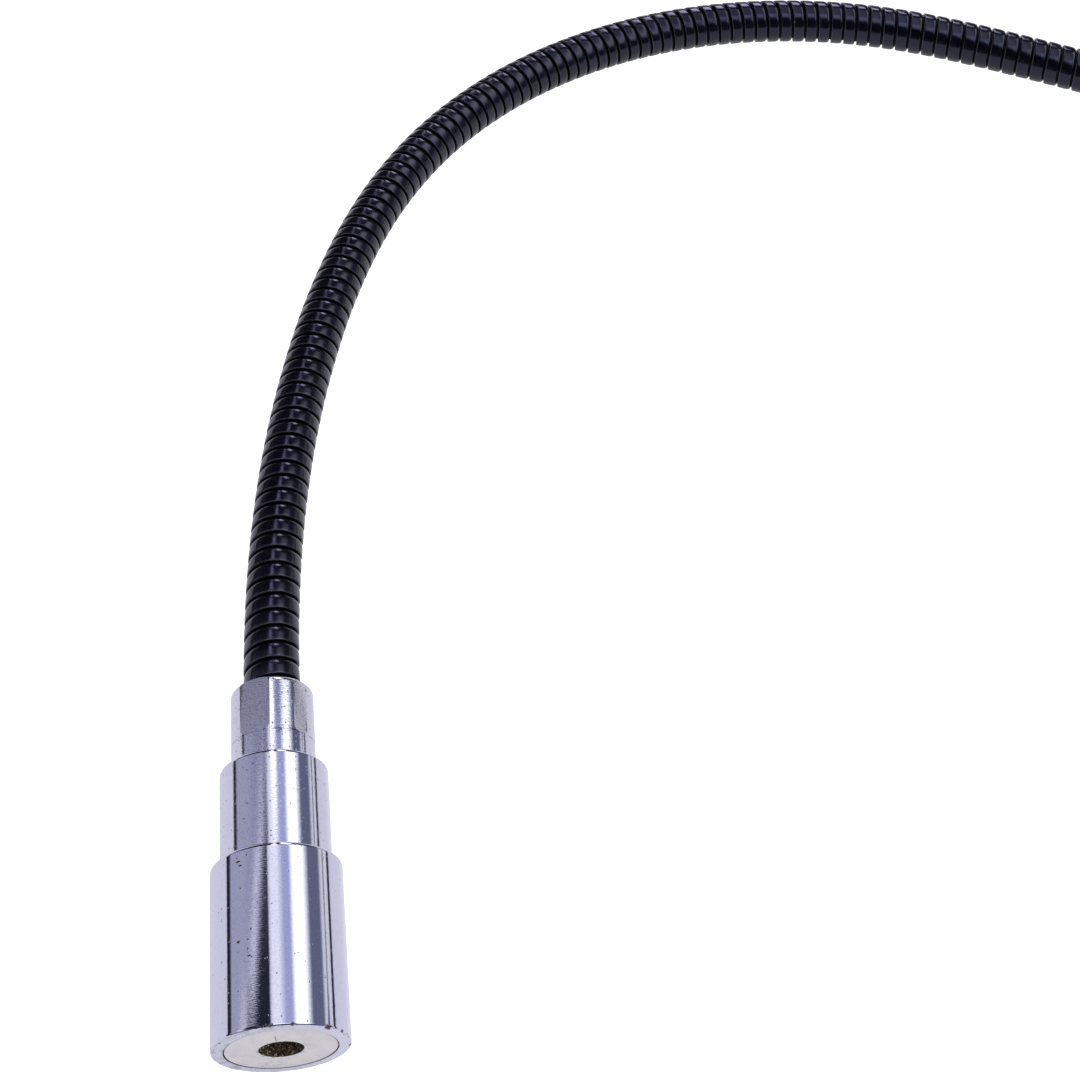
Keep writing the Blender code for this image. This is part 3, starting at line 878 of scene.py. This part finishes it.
def band_mesh(name, first_turn, last_turn):
    """A right-handed ribbon round the neck's line, between two counts of turns."""
    steps = round((last_turn - first_turn) * STEPS_PER_TURN)
    turns = np.linspace(first_turn, last_turn, steps + 1)
    section = band_section()
    points = np.zeros((steps + 1, len(section), 3))
    coordinates = np.zeros((steps + 1, len(section), 2))
    centre = line.distance_of_turns(turns)
    pitch = line.distance_of_turns(turns + 0.5) - line.distance_of_turns(turns - 0.5)
    angle = 2 * math.pi * turns
    for index, (place, out) in enumerate(section):
        across = place * (pitch - GROOVE) / 2
        level, up, _ = line.across(centre + across)
        spoke = np.cos(angle)[:, None] * up + np.sin(angle)[:, None] * level
        points[:, index] = line.points(centre + across) + out * spoke
        depth = max(0.0, NECK_RADIUS - FAR_ROUND - out)
        coordinates[:, index, 0] = angle * NECK_RADIUS
        coordinates[:, index, 1] = place * BAND_HALF + math.copysign(depth, place)
    return mapped_mesh(name, points, coordinates, BLACK_BAND)


def core_mesh(name, start, end):
    """The dark inner spring under the band."""
    steps = max(8, round((end - start) / (1.0 * MM)))
    sides = 32
    distances = np.linspace(start, end, steps + 1)
    level, up, _ = line.across(distances)
    centre = line.points(distances)
    points = np.zeros((steps + 1, sides, 3))
    coordinates = np.zeros((steps + 1, sides, 2))
    for side in range(sides):
        angle = 2 * math.pi * side / sides
        points[:, side] = centre + CORE_RADIUS * (math.cos(angle) * up
                                                  + math.sin(angle) * level)
        coordinates[:, side, 0] = distances
        coordinates[:, side, 1] = CORE_RADIUS * min(angle, 2 * math.pi - angle)
    return mapped_mesh(name, points, coordinates, CORE_BLACK)


def make_neck():
    pitch = NECK_LENGTH / JOINTS
    insert = 6.0 * MM
    seams = [line.turns([number * pitch])[0] for number in range(JOINTS + 1)]
    seams = [math.floor(turns) + 0.5 for turns in seams]
    seams[0] = float(line.turns([-insert])[0])
    seams[-1] = float(line.turns([NECK_LENGTH + insert])[0])
    for number in range(JOINTS):
        start, end = number * pitch, (number + 1) * pitch
        band = band_mesh("neck_band_%02d" % number, seams[number], seams[number + 1])
        low = start - insert if number == 0 else start
        high = end + insert if number == JOINTS - 1 else end
        core = core_mesh("neck_spring_%02d" % number, low, high)
        for made, kind, slot in ((band, "neck_wrap", "black_wrap"),
                                 (core, "neck_coil", "spring_steel")):
            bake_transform(made)
            links = [number, number + 1] if number == JOINTS - 1 else [number]
            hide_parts(*["%s_%02d" % (kind, link) for link in links])


# ---------------------------------------------------------------- the grip

def grip_piece(name, outline, material, node, segments=96, sharp=30):
    """A turned piece of the grip; local z runs from the neck's end outwards."""
    made = turned(name, outline, segments, material, sharp)
    stand(made, NECK_END, END_HEADING)
    belongs(made, "grip", [node])
    return made


def sleeve_outline(start, end):
    """The rubber sleeve: rounded ends and a row of shallow rounded grooves."""
    bore = SHAFT_RADIUS + GAP
    lip = 0.3 * MM
    points = [(bore, start + lip), (bore + lip, start)]
    points += arc(GRIP_RADIUS - GRIP_ROUND, start + GRIP_ROUND, GRIP_ROUND, -90, 0, 10)
    middle = (start + end) / 2
    for number in range(GROOVES):
        centre = middle + (number - (GROOVES - 1) / 2) * GROOVE_PITCH
        for step in range(13):
            place = -1 + 2 * step / 12
            depth = GROOVE_DEPTH * (0.5 + 0.5 * math.cos(math.pi * place)) ** 0.7
            points.append((GRIP_RADIUS - depth, centre + place * GROOVE_WIDTH / 2))
    points += arc(GRIP_RADIUS - GRIP_ROUND, end - GRIP_ROUND, GRIP_ROUND, 0, 90, 10)
    points += [(bore + lip, end), (bore, end - lip)]
    return points


def make_grip():
    made = ferrule("grip_ferrule_fine", 0.0, GRIP_FERRULE_CHROME)
    stand(made, NECK_END, END_HEADING + math.pi)
    belongs(made, "grip", ["grip_ferrule"])

    start = FERRULE_LENGTH
    end = start + COLLAR_LENGTH
    collar = [(0, start)]
    collar += arc(COLLAR_RADIUS - SHOULDER, start + SHOULDER, SHOULDER, -90, 0)
    collar += arc(COLLAR_RADIUS - 0.3 * MM, end - 0.3 * MM, 0.3 * MM, 0, 90, 4)
    collar += [(0, end)]
    grip_piece("grip_collar_fine", collar, CHROME, "grip_collar", 128)

    start = end + GAP
    end = start + GRIP_LENGTH
    grip_piece("grip_sleeve_fine", sleeve_outline(start, end), RUBBER, "grip_sleeve",
               128, 40)

    shaft_end = end + WASHER_DEPTH + CAP_INSERT
    shaft = [(0, start - GAP), (SHAFT_RADIUS, start - GAP), (SHAFT_RADIUS, shaft_end),
             (0, shaft_end)]
    grip_piece("grip_shaft_fine", shaft, SHAFT_STEEL, "grip_shaft", 64)

    start = end + GAP
    end = start + WASHER_DEPTH
    edge = 0.3 * MM
    washer = [(SHAFT_RADIUS + GAP, start)]
    washer += arc(WASHER_RADIUS - edge, start + edge, edge, -90, 0, 4)
    washer += arc(WASHER_RADIUS - edge, end - edge, edge, 0, 90, 4)
    washer += [(SHAFT_RADIUS + GAP, end)]
    grip_piece("grip_washer_fine", washer, CHROME, "grip_washer", 128)

    start = end + GAP
    make_end_cap(start, start + CAP_LENGTH)


def make_end_cap(start, end):
    """A domed cap, flattened to a tang with a hanging hole through it."""
    socket = SHAFT_RADIUS + GAP
    edge = 0.5 * MM
    outline = [(0, start + CAP_SOCKET), (socket, start + CAP_SOCKET), (socket, start)]
    outline += arc(CAP_RADIUS - edge, start + edge, edge, -90, 0, 4)
    outline += arc(0, end - CAP_RADIUS, CAP_RADIUS, 0, 90, 24)
    made = turned("end_cap_fine", outline, 128, RUBBER)
    reach = 10 * MM
    sides = []
    for side in (-1, 1):
        size = Vector((4 * CAP_RADIUS, reach, 2 * CAP_LENGTH))
        centre = Vector((0, side * (TANG_THICKNESS + reach) / 2,
                         start + TANG_START + CAP_LENGTH))
        sides.append(cutter_box(size, centre, 0.0, 0.0))
    hole = cutter_rod(HANG_HOLE, 4 * CAP_RADIUS, Vector((0, 0, end - HOLE_FROM_END)))
    cut_away(made, [*sides, hole])
    bevel = made.modifiers.new("Soft edges", "BEVEL")
    bevel.width = 0.35 * MM
    bevel.segments = 3
    bevel.angle_limit = math.radians(35)
    bevel.harden_normals = True
    stand(made, NECK_END, END_HEADING)
    belongs(made, "grip", ["end_cap"])


# ---------------------------------------------------------------- set

def make_camera():
    camera = bpy.data.objects.new("camera", bpy.data.cameras.new("camera"))
    bpy.context.scene.collection.objects.link(camera)
    bpy.context.scene.camera = camera
    camera.data.sensor_width = 36
    camera.data.lens = FOCAL_LENGTH
    camera.data.clip_start = 0.01
    camera.data.clip_end = 50
    camera.location = FACE + EYE_FROM_FACE
    look = FACE + AIM_FROM_FACE - camera.location
    turn = look.to_track_quat("-Z", "Y").to_matrix() @ Matrix.Rotation(ROLL, 3, "Z")
    camera.rotation_euler = turn.to_euler()


def make_floor():
    mesh = bpy.data.meshes.new("floor")
    shape = bmesh.new()
    bmesh.ops.create_grid(shape, x_segments=1, y_segments=1, size=FLOOR_REACH)
    shape.to_mesh(mesh)
    shape.free()
    finish = Nodes.material("floor_finish")
    seen = finish.add("ShaderNodeLightPath").outputs["Is Camera Ray"]
    finish.set(Base_Color=(0.62, 0.61, 0.60), Roughness=0.9, Emission_Color=(1.0, 1.0, 1.0),
               Emission_Strength=finish.spread(seen, FLOOR_GLOW, FLOOR_SEEN))
    floor = new_object("floor", mesh, finish.owner)
    floor.location = (0, 0, -FLOOR_DROP)


def make_strip():
    """A dark strip to the right of the head, seen only in the chrome."""
    mesh = bpy.data.meshes.new("strip")
    shape = bmesh.new()
    bmesh.ops.create_cube(shape, size=1)
    bmesh.ops.scale(shape, vec=STRIP_SIZE, verts=shape.verts)
    shape.to_mesh(mesh)
    shape.free()
    finish = Nodes.material("strip_finish")
    finish.set(Base_Color=(0.05, 0.05, 0.06), Roughness=0.8)
    strip = new_object("strip", mesh, finish.owner)
    ahead = heading_direction(HEAD_HEADING)
    right = Vector((ahead.y, -ahead.x, 0))
    strip.location = FACE + STRIP_AHEAD * ahead + STRIP_RIGHT * right
    strip.location.z = STRIP_HEIGHT
    strip.rotation_euler = (0, 0, -HEAD_HEADING)
    strip.visible_camera = False
    strip.visible_shadow = False


# A ramp's colours stop at 1, so they are laid out as shares of the brightest light.
BRIGHTEST = 3.0

# What stands round the tool, by angle from overhead about the head's axis: degrees to
# the right, and the light's colour there. A pale wall to the left ends in a dark post;
# then a grey ceiling, a soft lamp overhead, a strong one to the right, a dark ceiling
# and the pale wall to the right.
WALL = (0.9, 0.9, 0.92)
POST = (0.02, 0.02, 0.03)
GREY = (0.5, 0.5, 0.62)
DIM = (0.4, 0.4, 0.54)
SOFT_LAMP = (1.2, 1.2, 1.25)
BLUE_GREY = (0.55, 0.56, 0.83)
STRONG_LAMP = (2.4, 2.4, 2.4)
DARK = (0.18, 0.19, 0.28)
ROOM = ((-180, WALL), (-93, WALL), (-91, POST), (-83, POST), (-80, GREY), (-55, GREY),
        (-35, DIM), (-15, DIM), (-5, SOFT_LAMP), (5, SOFT_LAMP), (15, BLUE_GREY),
        (25, BLUE_GREY), (35, STRONG_LAMP), (45, STRONG_LAMP), (60, DARK), (80, DARK),
        (85, WALL), (180, WALL))


# How strong the long lamp overhead is, by how far ahead it stands.
OVERHEAD = ((0.50, 0.0), (0.54, 1.0), (0.61, 1.0), (0.66, 0.35), (0.80, 0.35), (0.84, 0.9),
            (0.93, 0.9), (0.97, 0.0))


# The dark wedge's edge, in degrees from overhead: its slope by how far ahead it is, and
# its place level with the viewer.
WEDGE_SLOPE = 210.0
WEDGE_EDGE = -106.5
WEDGE_FLARE = -10.0


def make_world():
    """A pale room whose walls and lamps run in stripes beside the head."""
    world = bpy.data.worlds.new("room")
    bpy.context.scene.world = world
    room = Nodes(world)
    ahead = heading_direction(HEAD_HEADING)
    right = Vector((ahead.y, -ahead.x, 0))
    ray = room.place("Generated")
    along = room.dot(ray, ahead)
    rise = room.dot(ray, (0, 0, 1))
    angle = room.math("DEGREES", room.math("ARCTAN2", room.dot(ray, right), rise))
    uneven = room.noise(ray, 40, 4, 0.6)
    fine = room.noise(ray, 160, 3, 0.6)
    wander = room.spread(uneven, -0.8, 0.8)
    angle = room.math("ADD", angle, wander)
    share = room.math("DIVIDE", room.math("ADD", angle, 180), 360)
    stops = [((degrees + 180) / 360, (red / BRIGHTEST, green / BRIGHTEST, blue / BRIGHTEST))
             for degrees, (red, green, blue) in ROOM]
    light = room.mix(1.0, room.ramp(share, stops), (BRIGHTEST,) * 3, "MULTIPLY")

    # A dark wedge left of the middle, with a bright edge; it closes up ahead.
    near = room.math("MINIMUM", room.math("MAXIMUM", along, 0.30), 0.60)
    edge = room.math("ADD", room.times(near, WEDGE_SLOPE), WEDGE_EDGE)
    edge = room.math("ADD", edge, room.times(room.step(along, 0.350, 0.332), WEDGE_FLARE))
    past = room.math("SUBTRACT", angle, edge)
    past = room.math("ADD", past, room.spread(fine, -0.8, 0.8))
    fade = room.step(along, 0.465, 0.445)
    glow = room.times(room.band(past, -13, -5, 5), fade)
    light = room.mix(glow, light, (1.02, 0.99, 1.08))
    dark = room.times(room.step(past, -3, 1), room.step(angle, -9.5, -11.5), fade)
    hollow = room.mix(room.step(along, 0.36, 0.43), (0.022, 0.026, 0.040), (0.075, 0.080, 0.12))
    light = room.mix(dark, light, hollow)

    # Past the head the room is dark, and behind the viewer too.
    dark_room = room.math("MAXIMUM", room.step(along, 0.515, 0.54),
                          room.step(along, -0.50, -0.65))
    wide = room.step(room.math("ABSOLUTE", angle), 45, 70)
    dark_room = room.times(dark_room, room.spread(wide, 0.98, 0.80))
    light = room.mix(dark_room, light, (0.035, 0.030, 0.055))
    # Lamps: a long one overhead that starts above the ferrule, with a gap in it far
    # ahead; one beside that gap, to the right; and one just behind the head.
    near_lamp = room.times(room.band(angle, -1, 9, 3), room.step(along, 0.44, 0.49),
                           room.step(along, 0.54, 0.515))
    light = room.mix(near_lamp, light, (2.6, 2.6, 2.7))
    strength = room.ramp(along, [(place, (share,) * 3) for place, share in OVERHEAD])
    overhead = room.times(room.band(angle, -4, 5, 3), strength)
    light = room.mix(overhead, light, (3.2, 2.9, 3.9))
    low = room.times(room.band(angle, 18, 36, 5), room.band(along, 0.72, 0.94, 0.03))
    light = room.mix(low, light, (6.0, 5.4, 7.0))
    behind = room.times(room.band(angle, -12, 22, 5), room.band(along, -0.48, -0.22, 0.06))
    light = room.mix(behind, light, (2.2, 2.1, 2.7))
    room.put(light, room.tree.nodes["Background"].inputs["Color"])

    # Seen directly, the room is plain white.
    plain = room.add("ShaderNodeBackground")
    choose = room.add("ShaderNodeMixShader")
    room.put(room.add("ShaderNodeLightPath").outputs["Is Camera Ray"], choose.inputs[0])
    room.put(room.tree.nodes["Background"].outputs[0], choose.inputs[1])
    room.put(plain.outputs[0], choose.inputs[2])
    plain.inputs["Color"].default_value = (1, 1, 1, 1)
    room.put(choose.outputs[0], room.tree.nodes["World Output"].inputs["Surface"])


make_camera()
make_floor()
make_strip()
make_world()
make_head()
make_neck()
make_grip()

bpy.context.scene.view_settings.view_transform = "Standard"
